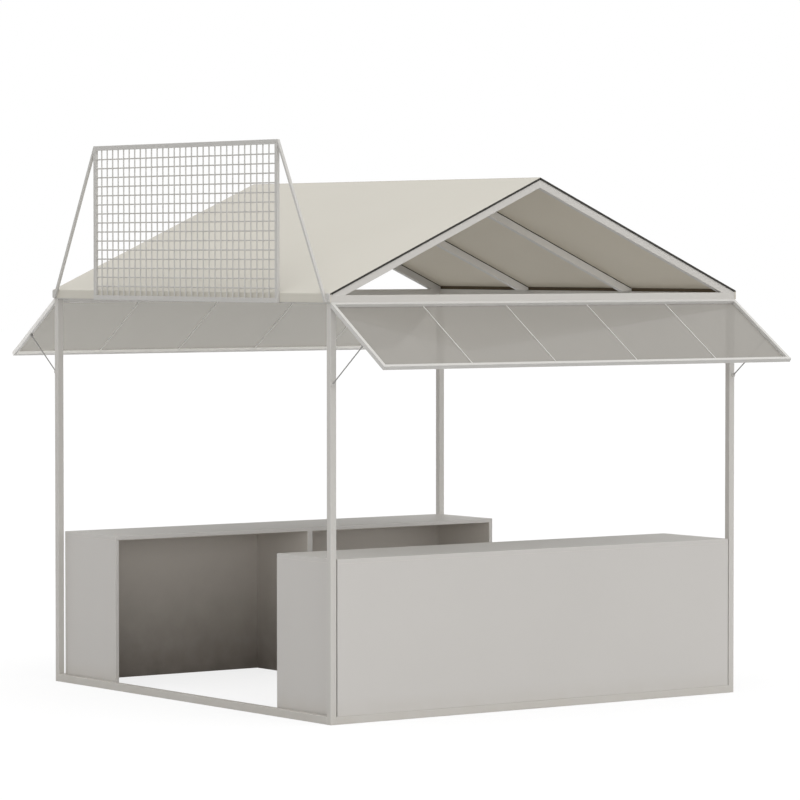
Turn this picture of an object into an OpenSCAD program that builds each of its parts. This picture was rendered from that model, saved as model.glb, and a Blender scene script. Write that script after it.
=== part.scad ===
// Market stall: a square steel-tube frame with a low gable roof, a wire-mesh
// sign panel standing on the front eave, a glazed awning on each gable side
// and two shop counters that are open towards the inside.
// Millimetres. +X runs along the ridge, -Y is the front, +Z is up.
// The origin is on the ground, at the middle of the frame.

/* [Overall] */
// Outer length of the frame along the ridge
frame_w = 3000; // [2400:50:3600]
// Outer depth of the frame across the ridge
frame_d = 3000; // [2400:50:3600]
// Height of the underside of the eave ring above the ground
eave_h = 2390; // [2200:10:2700]
// Slope of the roof in degrees
roof_slope = 24; // [15:1:32]

/* [Frame] */
// Side of the square posts, and width of the beams that line up with them
post_s = 40; // [30:1:60]
// Height of the beams on the ground
base_h = 46; // [30:1:80]
// Height of the beams of the eave ring
ring_h = 48; // [40:1:80]
// Width of a rafter
rafter_w = 40; // [30:1:60]
// Depth of a rafter, square to the slope
rafter_t = 45; // [30:1:80]
// Number of rafter pairs
rafter_n = 4; // [3:1:6]
// How far the inner rafters stand out from even spacing, towards the gables
rafter_out = 33; // [0:1:60]

/* [Roof] */
// Thickness of the roof panels
panel_t = 6; // [4:1:12]
// Thickness of the sealing tape between a rafter and its panel
tape_t = 4; // [1:0.5:5]
// Gap between the eave ring and the roof panel at the outer face
seat_gap = 7; // [5:1:20]
// How far the panels run past the gable faces
panel_over = 4; // [0:1:30]
// Height of the fascia's lower edge above the underside of the eave ring
fascia_lift = 7; // [0:1:30]
// Width of the foam closer on the eave ring
closer_w = 22; // [10:1:28]

/* [Sign panel] */
// Outer width of the sign panel
sign_w = 2000; // [1400:10:2200]
// Outer height of the sign panel
sign_h = 940; // [500:10:1100]
// Width of its frame bars
sign_bar = 28; // [15:1:40]
// Depth of its frame bars
sign_d = 17; // [10:1:30]
// Thickness of a mesh wire
wire_t = 8; // [3:1:10]
// Number of mesh cells across
mesh_nx = 31; // [15:2:41]
// Number of mesh cells up
mesh_ny = 16; // [8:1:24]
// Width of the two side braces
brace_w = 16; // [10:1:25]

/* [Awnings] */
// How far an awning stands out from the frame
awning_out = 520; // [350:10:700]
// Height of an awning's hinge line above the underside of the eave ring
awning_lift = 8; // [2:1:40]
// Angle of an awning below level, in degrees
awning_slope = 34; // [20:1:50]
// Width of the awning's rails
awning_rail = 20; // [15:1:40]
// Depth of the awning's rails, square to the slope
awning_t = 25; // [18:1:40]
// Thickness of the glass
glass_t = 6; // [4:1:10]
// Number of panes in an awning
pane_n = 5; // [2:1:7]
// Width of the bars between the panes
bar_w = 6; // [4:1:16]
// How far these bars stand back from even spacing
bar_shift = 45; // [0:1:80]
// Where the panes lie in the depth of the left awning's frame
left_panes = "upper"; // [upper, lower]
// Where the panes lie in the depth of the right awning's frame
right_panes = "lower"; // [upper, lower]
// Diameter of a stay rod
stay_d = 7; // [5:1:12]
// Height of the stay's foot on the post
stay_h = 1936; // [1700:1:2000]
// Distance of the stay's head from the frame, as seen from above
stay_out = 299; // [200:1:340]

/* [Counters] */
// Depth of the left counter
left_depth = 590; // [400:10:700]
// Depth of the right counter
right_depth = 610; // [400:10:700]
// Height of a counter
counter_h = 940; // [800:10:1100]
// Gap between a counter's ends and the posts
counter_gap = 7; // [5:1:30]
// Thickness of the counter top
top_t = 25; // [18:1:50]
// Thickness of the outer panel
outer_t = 20; // [12:1:30]
// Thickness of the end panels
end_t = 25; // [15:1:40]
// Thickness of the middle divider
divider_t = 38; // [18:1:50]
// How far the left counter stands in from the frame's outer face
left_inset = 42; // [0:1:120]
// How far the right counter stands in from the frame's outer face
right_inset = 0; // [0:1:120]

/* [Hidden] */
half_w = frame_w / 2;
half_d = frame_d / 2;
ring_top = eave_h + ring_h;
slope_rise = tan(roof_slope);
panel_v = panel_t / cos(roof_slope);
tape_v = tape_t / cos(roof_slope);
rafter_v = rafter_t / cos(roof_slope);
rafter_pitch = (frame_w - rafter_w) / (rafter_n - 1);
sign_y = -half_d - panel_t;
sign_z = eave_h + 1;
mesh_w = sign_w - 2 * sign_bar;
mesh_h = sign_h - 2 * sign_bar;
brace_plate = [36, 56, 6];
brace_foot_in = 20;
hinge_h = eave_h + awning_lift;
awning_len = awning_out / cos(awning_slope);
stay_in = 12;
boss_d = 24;
boss_t = 8;
bar_rise = 3;
top_rail = max(awning_rail, awning_t * tan(awning_slope) + 3);
lug = [16, 16, 12];
counter_l = frame_d - 2 * (post_s + counter_gap);
tape_end = 10;
// How far a cutting shape runs past the face that it cuts
past = 1;

// Name of a piece and the sign of the side that it stands on
ENDS = [["front", -1], ["back", 1]];
SIDES = [["left", -1], ["right", 1]];

// Height of a roof line above the ground, at a distance d in from the frame's
// outer face: underside of the panels, their top, and a rafter's two edges
function panel_under(d) = ring_top + seat_gap + d * slope_rise;
function panel_top(d) = panel_under(d) + panel_v;
function rafter_top(d) = panel_under(d) - tape_v;
function rafter_low(d) = rafter_top(d) - rafter_v;
// Where a rafter's lower edge comes down to the eave ring
rafter_toe = (ring_top - rafter_low(0)) / slope_rise;

// X of the left face of rafter pair i
function rafter_x(i) = -half_w + (i - 1) * rafter_pitch
    + (i == 1 || i == rafter_n ? 0 : rafter_out * sign(2 * i - rafter_n - 1));

// Turns an outline of (distance in from the outer face, height) into a bar
// along X, from x0 over length w, on the front (-1) or back (1) side
module roof_bar(side, x0, w, points) {
    outline = [for (p = points) [side * (half_d - p[0]), p[1]]];
    translate([x0, 0, 0])
        rotate([90, 0, 90])
            linear_extrude(w)
                polygon(outline);
}

module base_beam_end(side) {
    color("silver")
        translate([post_s - half_w, side * (half_d - post_s / 2) - post_s / 2, 0])
            cube([frame_w - 2 * post_s, post_s, base_h]);
}

module base_beam_side(side) {
    color("silver")
        translate([side * (half_w - post_s / 2) - post_s / 2, post_s - half_d, 0])
            cube([post_s, frame_d - 2 * post_s, base_h]);
}

module post(side_x, side_y) {
    color("silver")
        translate([
            side_x * (half_w - post_s / 2) - post_s / 2,
            side_y * (half_d - post_s / 2) - post_s / 2,
            0
        ])
            cube([post_s, post_s, eave_h]);
}

module eave_beam(side) {
    color("silver")
        translate([-half_w, side * (half_d - post_s / 2) - post_s / 2, eave_h])
            cube([frame_w, post_s, ring_h]);
}

module tie_beam(side) {
    color("silver")
        translate([side * (half_w - post_s / 2) - post_s / 2, post_s - half_d, eave_h])
            cube([post_s, frame_d - 2 * post_s, ring_h]);
}

// A rafter stands on the eave ring and meets its partner in a plumb joint
module rafter(side, i) {
    color("silver")
        roof_bar(side, rafter_x(i), rafter_w, [
            [0, ring_top],
            [0, rafter_top(0)],
            [half_d, rafter_top(half_d)],
            [half_d, rafter_low(half_d)],
            [rafter_toe, ring_top]
        ]);
}

// One sheet, folded down over the eave ring as a fascia
module roof_panel(side) {
    fascia_z = eave_h + fascia_lift;
    color("gainsboro")
        roof_bar(side, -half_w - panel_over, frame_w + 2 * panel_over, [
            [0, fascia_z],
            [0, panel_under(0)],
            [half_d, panel_under(half_d)],
            [half_d, panel_top(half_d)],
            [-panel_t, panel_top(-panel_t)],
            [-panel_t, fascia_z]
        ]);
}

// Black tape on every rafter, and a foam closer on the eave ring in every bay
module roof_seal(side) {
    closer_in = (post_s - closer_w) / 2;
    tape_start = post_s - closer_in;
    tape_stop = half_d - tape_end;
    color("dimgray") {
        for (i = [1:rafter_n])
            roof_bar(side, rafter_x(i), rafter_w, [
                [tape_start, rafter_top(tape_start)],
                [tape_start, panel_under(tape_start)],
                [tape_stop, panel_under(tape_stop)],
                [tape_stop, rafter_top(tape_stop)]
            ]);
        for (i = [1:rafter_n - 1])
            roof_bar(side, rafter_x(i) + rafter_w, rafter_x(i + 1) - rafter_x(i) - rafter_w, [
                [closer_in, ring_top],
                [closer_in, panel_under(closer_in)],
                [closer_in + closer_w - 1, panel_under(closer_in + closer_w - 1)],
                [closer_in + closer_w - 1, ring_top]
            ]);
    }
}

// Stands an outline drawn in X and Z upright, with its front face at sign_y - t
module on_fascia(t, set_back) {
    translate([0, sign_y - set_back, 0])
        rotate([90, 0, 0])
            linear_extrude(t)
                children();
}

module sign_frame() {
    color("silver")
        on_fascia(sign_d, 0)
            difference() {
                translate([-sign_w / 2, sign_z])
                    square([sign_w, sign_h]);
                translate([-mesh_w / 2, sign_z + sign_bar])
                    square([mesh_w, mesh_h]);
            }
}

// Half of the square wire mesh, welded where the wires cross
module sign_mesh(side) {
    pitch_x = mesh_w / mesh_nx;
    pitch_z = mesh_h / mesh_ny;
    color("silver")
        on_fascia(wire_t, (sign_d - wire_t) / 2)
            union() {
                for (i = [1:(mesh_nx - 1) / 2])
                    translate([side * (mesh_w / 2 - i * pitch_x) - wire_t / 2, sign_z + sign_bar])
                        square([wire_t, mesh_h]);
                for (j = [1:mesh_ny - 1])
                    translate([
                        side < 0 ? -mesh_w / 2 : 0,
                        sign_z + sign_bar + j * pitch_z - wire_t / 2
                    ])
                        square([mesh_w / 2, wire_t]);
            }
}

// A brace runs from the sign's upper corner down to the end of the fascia,
// where it is welded to a small plate
module sign_brace(side) {
    foot_x = half_w - brace_foot_in;
    foot_z = eave_h + fascia_lift + 4;
    top_z = sign_z + sign_h;
    run = foot_x - sign_w / 2;
    drop = top_z - foot_z;
    cut = brace_w * norm([run, drop]) / run;
    color("silver")
        mirror([side < 0 ? 1 : 0, 0, 0]) {
            on_fascia(brace_w, 0)
                polygon([
                    [sign_w / 2, top_z],
                    [foot_x, foot_z],
                    [foot_x - cut * run / drop, foot_z],
                    [sign_w / 2, top_z - cut]
                ]);
            translate([
                half_w - brace_plate[0] + panel_over,
                sign_y - brace_plate[2],
                eave_h + fascia_lift
            ])
                cube([brace_plate[0], brace_plate[2], brace_plate[1] - 4]);
        }
}

// Puts an awning's own frame in place: its hinge line is the Y axis, +X runs
// down the slope and +Z stands square to the panes
module on_awning(side) {
    mirror([side < 0 ? 1 : 0, 0, 0])
        translate([half_w, 0, hinge_h])
            rotate([0, awning_slope, 0])
                children();
}

awning_inner = awning_len - awning_rail - top_rail;
pane_pitch = frame_d / pane_n;
// Front and back edge of pane i
function pane_front(i) = i == 1
    ? awning_rail - half_d
    : (i - 1) * pane_pitch + bar_shift + bar_w / 2 - half_d;
function pane_back(i) = i == pane_n
    ? half_d - awning_rail
    : i * pane_pitch + bar_shift - bar_w / 2 - half_d;

// Height of the panes' lower face in an awning's own frame
function panes_up(side) = (side < 0 ? left_panes : right_panes) == "upper";
function glass_z(side) = panes_up(side) ? -glass_t : -awning_t;

// A frame of rails with thin bars between the panes. Its back is cut plumb
// where it meets the posts and the tie beam
module awning_frame(side) {
    bar_t = glass_t + bar_rise;
    pocket_t = awning_t - bar_t + past;
    color("silver")
        on_awning(side)
            difference() {
                translate([0, half_d, 0])
                    rotate([90, 0, 0])
                        linear_extrude(frame_d)
                            polygon([
                                [0, 0],
                                [awning_len, 0],
                                [awning_len, -awning_t],
                                [awning_t * tan(awning_slope), -awning_t]
                            ]);
                translate([
                    top_rail,
                    awning_rail - half_d,
                    panes_up(side) ? -awning_t - past : bar_t - awning_t
                ])
                    cube([awning_inner, frame_d - 2 * awning_rail, pocket_t]);
                for (i = [1:pane_n])
                    translate([top_rail, pane_front(i), -awning_t - past])
                        cube([awning_inner, pane_back(i) - pane_front(i), awning_t + 2 * past]);
            }
}

// The panes lie flush with one face of the frame, each between two bars
module awning_glass(side) {
    color("darkgray", 0.6)
        on_awning(side)
            for (i = [1:pane_n])
                translate([top_rail, pane_front(i), glass_z(side)])
                    cube([awning_inner, pane_back(i) - pane_front(i), glass_t]);
}

// Two rods, each from a round foot on a post up to a lug under the side rail
module awning_stays(side) {
    lug_n = -awning_t - lug[2] / 2;
    head_s = (stay_out - lug_n * sin(awning_slope)) / cos(awning_slope);
    run = stay_out - boss_t / 2;
    rise = hinge_h - head_s * sin(awning_slope) + lug_n * cos(awning_slope) - stay_h;
    color("silver")
        for (end = [-1, 1])
            union() {
                mirror([side < 0 ? 1 : 0, 0, 0])
                    translate([half_w, end * (half_d - stay_in), stay_h])
                        rotate([0, 90, 0])
                            cylinder(h = boss_t, d = boss_d, $fn = 48);
                mirror([side < 0 ? 1 : 0, 0, 0])
                    translate([half_w + boss_t / 2, end * (half_d - stay_in), stay_h])
                        rotate([0, atan2(run, rise), 0])
                            cylinder(h = norm([run, rise]), d = stay_d, $fn = 24);
                on_awning(side)
                    translate([
                        head_s - lug[0] / 2,
                        end * (half_d - stay_in) - lug[1] / 2,
                        -awning_t - lug[2]
                    ])
                        cube(lug);
            }
}

function inset(side) = side < 0 ? left_inset : right_inset;
function depth(side) = side < 0 ? left_depth : right_depth;

// Turns an outline of (distance in from a counter's outer face, height) into a
// board along Y, from y0 over length l, in the left (-1) or right (1) counter
module counter_board(side, y0, l, points) {
    outline = [for (p = points) [side * (half_w - inset(side) - p[0]), p[1]]];
    translate([0, y0 + l, 0])
        rotate([90, 0, 0])
            linear_extrude(l)
                polygon(outline);
}

module counter_top(side) {
    color("lightgray")
        counter_board(side, -counter_l / 2, counter_l, [
            [0, counter_h - top_t],
            [depth(side), counter_h - top_t],
            [depth(side), counter_h],
            [0, counter_h]
        ]);
}

// The outer panel stands on the base beam, or on the ground where the counter
// is set in behind the beam
module counter_outer_panel(side) {
    foot = inset(side) < post_s ? base_h : 0;
    color("lightgray")
        counter_board(side, -counter_l / 2, counter_l, [
            [0, foot],
            [outer_t, foot],
            [outer_t, counter_h - top_t],
            [0, counter_h - top_t]
        ]);
}

// An end panel or the divider: down to the ground, and cut out over the beam
module counter_upright(side, y0, t) {
    notch = post_s - inset(side) - outer_t;
    feet = notch > 0
        ? [[outer_t, base_h], [outer_t + notch, base_h], [outer_t + notch, 0]]
        : [[outer_t, 0]];
    color("lightgray")
        counter_board(side, y0, t, concat(feet, [
            [depth(side), 0],
            [depth(side), counter_h - top_t],
            [outer_t, counter_h - top_t]
        ]));
}

for (e = ENDS) {
    base_beam_end(e[1]);
    eave_beam(e[1]);
    roof_panel(e[1]);
    roof_seal(e[1]);
    for (s = SIDES)
        post(s[1], e[1]);
    for (i = [1:rafter_n])
        rafter(e[1], i);
}
sign_frame();
for (s = SIDES) {
    base_beam_side(s[1]);
    tie_beam(s[1]);
    sign_mesh(s[1]);
    sign_brace(s[1]);
    awning_frame(s[1]);
    awning_glass(s[1]);
    awning_stays(s[1]);
    counter_top(s[1]);
    counter_outer_panel(s[1]);
    counter_upright(s[1], -divider_t / 2, divider_t);
    counter_upright(s[1], -counter_l / 2, end_t);
    counter_upright(s[1], counter_l / 2 - end_t, end_t);
}
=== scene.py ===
# %% [markdown]
# # A market stall of grey powder-coated steel
# The stall is four square posts on a ring of ground beams, a gable roof of composite sheet
# on four pairs of rafters, a wire-mesh sign panel, two glazed awnings and two counters.
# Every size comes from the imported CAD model, the frame. Its nodes already stand in the right
# place, so this lesson gives each one the softened edges, layers, joints and finishes that
# make a clean solid look like a made thing, and then lights it in a plain white studio.

# %% Load the frame
import math

import bmesh
import bpy
from mathutils import Matrix, Vector


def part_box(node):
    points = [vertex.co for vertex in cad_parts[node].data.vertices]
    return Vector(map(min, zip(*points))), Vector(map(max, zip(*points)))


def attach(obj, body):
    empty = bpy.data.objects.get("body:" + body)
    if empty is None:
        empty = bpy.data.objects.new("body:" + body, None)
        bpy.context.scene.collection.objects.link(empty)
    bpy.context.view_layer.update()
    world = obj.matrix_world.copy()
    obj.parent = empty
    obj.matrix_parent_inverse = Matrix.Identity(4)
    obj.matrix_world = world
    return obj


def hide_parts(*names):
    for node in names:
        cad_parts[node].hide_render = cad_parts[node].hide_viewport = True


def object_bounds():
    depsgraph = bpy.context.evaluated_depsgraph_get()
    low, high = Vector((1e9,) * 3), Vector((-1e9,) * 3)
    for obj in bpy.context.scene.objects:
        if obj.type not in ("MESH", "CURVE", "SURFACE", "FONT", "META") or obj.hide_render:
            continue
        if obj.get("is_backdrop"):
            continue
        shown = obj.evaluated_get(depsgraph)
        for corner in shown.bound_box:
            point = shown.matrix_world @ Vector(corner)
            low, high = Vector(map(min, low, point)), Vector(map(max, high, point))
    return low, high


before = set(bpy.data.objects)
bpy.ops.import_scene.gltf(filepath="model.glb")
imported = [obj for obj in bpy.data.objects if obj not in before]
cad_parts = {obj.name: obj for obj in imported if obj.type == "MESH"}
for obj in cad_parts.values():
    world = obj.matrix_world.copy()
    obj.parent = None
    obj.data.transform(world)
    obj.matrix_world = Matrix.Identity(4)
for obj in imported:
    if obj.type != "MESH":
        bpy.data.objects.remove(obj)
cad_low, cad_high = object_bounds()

MM = 0.001
print("CAD nodes:", len(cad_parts), "size in m:", [round(v, 3) for v in cad_high - cad_low])

# %% [markdown]
# ## Driving sizes
# The frame gives nearly every measure. A roof panel's slope is the tilt of its largest face,
# and so is an awning's. Reading them from the mesh is safer than typing them a second time,
# because the looks then follow the construction when somebody changes it.


# %% Measure the slopes and the main faces
def slope_of(node):
    """Angle between level ground and the largest face of a CAD node."""
    face = max(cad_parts[node].data.polygons, key=lambda polygon: polygon.area)
    return math.acos(abs(face.normal.z))


ROOF_SLOPE = slope_of("roof_panel_front")
AWNING_SLOPE = slope_of("awning_glass_right")
panel_low, panel_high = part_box("roof_panel_front")
beam_low, beam_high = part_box("eave_beam_front")
HALF_W = beam_high.x
HALF_D = -beam_low.y
RING_TOP = beam_high.z
PANEL_T = beam_low.y - panel_low.y
print("slopes:", round(math.degrees(ROOF_SLOPE), 2), round(math.degrees(AWNING_SLOPE), 2))
print("panel thickness in mm:", round(PANEL_T / MM, 2))

# %% [markdown]
# ## Shared effects as node groups
# Powder coat, paint, composite sheet and foam look different, but they share a few effects:
# slow patches in the tone, a fine grain in the gloss and the surface, paler edges that are
# partly rubbed wear and partly a painted highlight, and a mask low down that is dust settling
# near the ground on most pieces and painted shade inside the counters. Copying the nodes into
# every material would work, but a later correction would have to be made in each copy. So each
# effect is one shader node group with named sockets, placed in every material with its own
# values. All of them read Object coordinates, so a pattern keeps its real size on every piece.


# %% Helpers for node trees
def add_node(tree, kind, **values):
    """A new node. Values named in_X go to input socket X, and the rest are properties."""
    node = tree.nodes.new(kind)
    for name, value in values.items():
        if name.startswith("in_"):
            node.inputs[name[3:].replace("_", " ")].default_value = value
        else:
            setattr(node, name, value)
    return node


def new_group(name, inputs, outputs):
    """An empty shader group with float inputs and the given outputs."""
    group = bpy.data.node_groups.new(name, "ShaderNodeTree")
    for label, value in inputs.items():
        socket = group.interface.new_socket(name=label, in_out="INPUT", socket_type="NodeSocketFloat")
        socket.default_value = value
    for label, kind in outputs.items():
        group.interface.new_socket(name=label, in_out="OUTPUT", socket_type="NodeSocket" + kind)
    return group, group.nodes.new("NodeGroupInput"), group.nodes.new("NodeGroupOutput")


def math_node(tree, operation, first, second):
    """One Math node. Each operand is a number or a socket."""
    node = add_node(tree, "ShaderNodeMath", operation=operation)
    for socket, value in zip(node.inputs, (first, second)):
        if isinstance(value, (int, float)):
            socket.default_value = value
        else:
            tree.links.new(value, socket)
    return node.outputs[0]


# %% [markdown]
# ### Coat grain
# A sprayed or powdered coat is never perfectly even. It has slow patches, a hand wide, where
# the film is a little thicker, and a fine orange-peel texture of a millimetre or two. A scan
# of a coat would show seams and stretch on long tubes, while noise has no edges. One noise
# texture gives each effect, and a Bump node turns the fine one into a normal.

# %% Build the grain group
GRAIN_INPUTS = {"Patch size": 0.4, "Grain size": 0.002, "Depth": 0.0001}
GRAIN_FALL = 0.55
grain_group, entry, leave = new_group(
    "coat_grain", GRAIN_INPUTS, {"Patches": "Float", "Grain": "Float", "Normal": "Vector"})
place = add_node(grain_group, "ShaderNodeTexCoord")
for label, detail, output in (("Patch size", 3.0, "Patches"), ("Grain size", 2.0, "Grain")):
    noise = add_node(grain_group, "ShaderNodeTexNoise", in_Detail=detail, in_Roughness=GRAIN_FALL)
    density = math_node(grain_group, "DIVIDE", 1.0, entry.outputs[label])
    grain_group.links.new(place.outputs["Object"], noise.inputs["Vector"])
    grain_group.links.new(density, noise.inputs["Scale"])
    grain_group.links.new(noise.outputs["Fac"], leave.inputs[output])
peel = add_node(grain_group, "ShaderNodeBump", in_Strength=1.0)
grain_group.links.new(noise.outputs["Fac"], peel.inputs["Height"])
grain_group.links.new(entry.outputs["Depth"], peel.inputs["Distance"])
grain_group.links.new(peel.outputs["Normal"], leave.inputs["Normal"])
print("group", grain_group.name, "has", len(grain_group.nodes), "nodes")

# %% [markdown]
# ### Rubbed edges and painted highlights
# On a real coat the film is thinner and rubbed paler along edges. Here the paler edge is partly
# that wear and partly a painted highlight, the bright line that light draws along an edge. Such
# a mask could be painted by hand, or come from the mesh's pointiness, which needs many small
# faces. The Bevel node works on coarse meshes: it returns the normal that a rounded edge would
# have. Where that differs from the true normal there is an edge, and fine noise breaks the mask up.

# %% Build the edge group
# The edge mask lightens every edge: partly rubbed wear, partly a painted highlight.
EDGE_INPUTS = {"Width": 0.003, "Break up": 0.02}
FULL_WEAR_AND_HIGHLIGHT = 0.08
edge_wear_and_highlight_group, entry, leave = new_group("rubbed_edge", EDGE_INPUTS, {"Edge": "Float"})
place = add_node(edge_wear_and_highlight_group, "ShaderNodeTexCoord")
soft = add_node(edge_wear_and_highlight_group, "ShaderNodeBevel", samples=4)
true = add_node(edge_wear_and_highlight_group, "ShaderNodeNewGeometry")
same = add_node(edge_wear_and_highlight_group, "ShaderNodeVectorMath", operation="DOT_PRODUCT")
edge_wear_and_highlight_group.links.new(entry.outputs["Width"], soft.inputs["Radius"])
edge_wear_and_highlight_group.links.new(soft.outputs["Normal"], same.inputs[0])
edge_wear_and_highlight_group.links.new(true.outputs["Normal"], same.inputs[1])
turned = math_node(edge_wear_and_highlight_group, "SUBTRACT", 1.0, same.outputs["Value"])
noise = add_node(edge_wear_and_highlight_group, "ShaderNodeTexNoise", in_Detail=3.0)
density = math_node(edge_wear_and_highlight_group, "DIVIDE", 1.0, entry.outputs["Break up"])
edge_wear_and_highlight_group.links.new(place.outputs["Object"], noise.inputs["Vector"])
edge_wear_and_highlight_group.links.new(density, noise.inputs["Scale"])
broken = math_node(edge_wear_and_highlight_group, "MULTIPLY", turned, noise.outputs["Fac"])
mask = add_node(edge_wear_and_highlight_group, "ShaderNodeMapRange", in_From_Max=FULL_WEAR_AND_HIGHLIGHT)
edge_wear_and_highlight_group.links.new(broken, mask.inputs["Value"])
edge_wear_and_highlight_group.links.new(mask.outputs["Result"], leave.inputs["Edge"])
print("group", edge_wear_and_highlight_group.name, "has", len(edge_wear_and_highlight_group.nodes), "nodes")

# %% [markdown]
# ### Dust near the ground, and painted shade
# Rain and brooms throw dust against the lowest hand's breadth of everything that stands
# outside. One rule for all pieces keeps the dust line level around the stall: the mask fades
# with the height, and noise breaks it up into clouds, fully or partly. Set tall, dark and hardly
# broken up, the same mask paints shade inside the counters, darker towards the floor.

# %% Build the dust and shade group
DUST_AND_SHADE_INPUTS = {"Height": 0.15, "Cloud size": 0.12, "Break up": 1.0}
dust_and_shade_group, entry, leave = new_group("ground_dust", DUST_AND_SHADE_INPUTS, {"Dust": "Float"})
place = add_node(dust_and_shade_group, "ShaderNodeTexCoord")
parts = add_node(dust_and_shade_group, "ShaderNodeSeparateXYZ")
dust_and_shade_group.links.new(place.outputs["Object"], parts.inputs["Vector"])
noise = add_node(dust_and_shade_group, "ShaderNodeTexNoise", in_Detail=4.0)
density = math_node(dust_and_shade_group, "DIVIDE", 1.0, entry.outputs["Cloud size"])
dust_and_shade_group.links.new(place.outputs["Object"], noise.inputs["Vector"])
dust_and_shade_group.links.new(density, noise.inputs["Scale"])
fade = add_node(dust_and_shade_group, "ShaderNodeMapRange", in_To_Min=1.0, in_To_Max=0.0)
dust_and_shade_group.links.new(parts.outputs["Z"], fade.inputs["Value"])
dust_and_shade_group.links.new(entry.outputs["Height"], fade.inputs["From Max"])
gap = math_node(dust_and_shade_group, "SUBTRACT", 1.0, noise.outputs["Fac"])
lost = math_node(dust_and_shade_group, "MULTIPLY", gap, entry.outputs["Break up"])
kept = math_node(dust_and_shade_group, "SUBTRACT", 1.0, lost)
cloud = math_node(dust_and_shade_group, "MULTIPLY", fade.outputs["Result"], kept)
dust_and_shade_group.links.new(cloud, leave.inputs["Dust"])
print("group", dust_and_shade_group.name, "has", len(dust_and_shade_group.nodes), "nodes")

# %% [markdown]
# ## The finishes
# Every opaque finish is the same recipe: a tone, a second tone for the patches, paler edges
# (partly wear, partly a painted highlight) and a low mask (dust on most finishes, painted shade
# inside the counters) in the colour, grain in the roughness, and the grain's normal. Only the
# values differ, so one function makes them all. The Principled shader stays in the material
# itself, and a value that is the same all over the piece is set straight on its socket.


# %% A recipe for opaque finishes
def tone(red, green, blue):
    """A colour given as 0-255 display values, in the linear values that shaders use."""
    def linear(value):
        value = value / 255
        return value / 12.92 if value <= 0.04045 else ((value + 0.055) / 1.055) ** 2.4
    return (linear(red), linear(green), linear(blue), 1.0)


DUST = (0.35, 0.15, 1.0, tone(168, 158, 140))
# Painted shade inside the counters: this mask darkens their inside towards the floor, where the recess
# is in shade.
INSIDE_PAINTED_SHADE = (0.95, 0.94, 0.25, tone(98, 90, 82))
GLOSS_SPREAD = 0.12


def mix_tones(tree, amount, first, second):
    """A Mix node between two colours, each a tuple or a socket."""
    node = add_node(tree, "ShaderNodeMix", data_type="RGBA")
    tree.links.new(amount, node.inputs["Factor"])
    for socket, value in ((node.inputs[6], first), (node.inputs[7], second)):
        if isinstance(value, tuple):
            socket.default_value = value
        else:
            tree.links.new(value, socket)
    return node.outputs[2]


def place_group(tree, group, **values):
    """A shared group placed in a material, with its own values."""
    node = add_node(tree, "ShaderNodeGroup", node_tree=group)
    for name, value in values.items():
        node.inputs[name.capitalize().replace("_", " ")].default_value = value
    return node


def coated(name, light, dark, rough, grain, edge_wear_and_highlight_tone=None, dust=None, specular=0.5, metal=0.0):
    """An opaque finish.

    grain is (patch size, grain size, depth). The low mask's values are (share, height, break up,
    tone): it darkens the colour towards the ground, as dust on most finishes and as painted shade
    inside the counters. The edge tone is the paler edge: partly rubbed wear, partly a painted highlight.
    """
    material = bpy.data.materials.new(name)
    material.use_nodes = True
    tree = material.node_tree
    surface = tree.nodes["Principled BSDF"]
    film = place_group(tree, grain_group, patch_size=grain[0], grain_size=grain[1], depth=grain[2])
    colour = mix_tones(tree, film.outputs["Patches"], light, dark)
    # Paler edges, partly rubbed wear and partly a painted highlight.
    if edge_wear_and_highlight_tone:
        edge = place_group(tree, edge_wear_and_highlight_group)
        colour = mix_tones(tree, edge.outputs["Edge"], colour, edge_wear_and_highlight_tone)
    # A mask low down darkens the colour: dust on most finishes, painted shade inside the counters.
    if dust:
        share, height, break_up, dust_and_shade_tone = dust
        low = place_group(tree, dust_and_shade_group, height=height, break_up=break_up)
        amount = math_node(tree, "MULTIPLY", low.outputs["Dust"], share)
        colour = mix_tones(tree, amount, colour, dust_and_shade_tone)
    spread = math_node(tree, "MULTIPLY", film.outputs["Grain"], GLOSS_SPREAD)
    gloss = math_node(tree, "ADD", spread, rough - GLOSS_SPREAD / 2)
    tree.links.new(colour, surface.inputs["Base Color"])
    tree.links.new(gloss, surface.inputs["Roughness"])
    tree.links.new(film.outputs["Normal"], surface.inputs["Normal"])
    surface.inputs["Specular IOR Level"].default_value = specular
    surface.inputs["Metallic"].default_value = metal
    return material


# %% [markdown]
# ### Metal, sheet and foam
# The frame's powder coat is a warm light grey with a satin gloss. The sign and the right
# awning's rails have close shades of it. The left awning's rails and the inner rafters' sides
# get a paler copy of it, which is painted light: they are lit less than the rest. The roof
# sheet is a cream composite: a lacquered skin, a black core and a browner lining. Tape and foam
# closers are dark and quite dull, and their dark tones also paint the shade in the gaps under
# the sheet. The counters have a satin paint outside. On top they have a harder lacquer whose darker
# tone is painted shade from the roof, and inside a browner coat with painted shade that darkens
# it towards the floor. The stays' rods are dark zinc.

# %% Mix the finishes
frame_coat = coated("frame_powder_coat", tone(195, 192, 187), tone(189, 186, 181), 0.5,
                    (0.5, 0.0016, 0.00006), tone(206, 204, 200), DUST)
sign_coat = coated("sign_powder_coat", tone(188, 186, 182), tone(182, 180, 176), 0.5,
                   (0.3, 0.0016, 0.00006), tone(199, 197, 193))
# Painted light: a paler copy of the frame coat for the inner rafters' sides, which are lit less.
rafter_painted_light_coat = coated("rafter_side_coat", tone(228, 225, 220), tone(222, 219, 214), 0.5,
                     (0.5, 0.0016, 0.00006), tone(232, 230, 226))
awning_coat = coated("awning_powder_coat", tone(196, 194, 190), tone(190, 188, 184), 0.45,
                     (0.4, 0.0016, 0.00006), tone(212, 210, 206))
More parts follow.
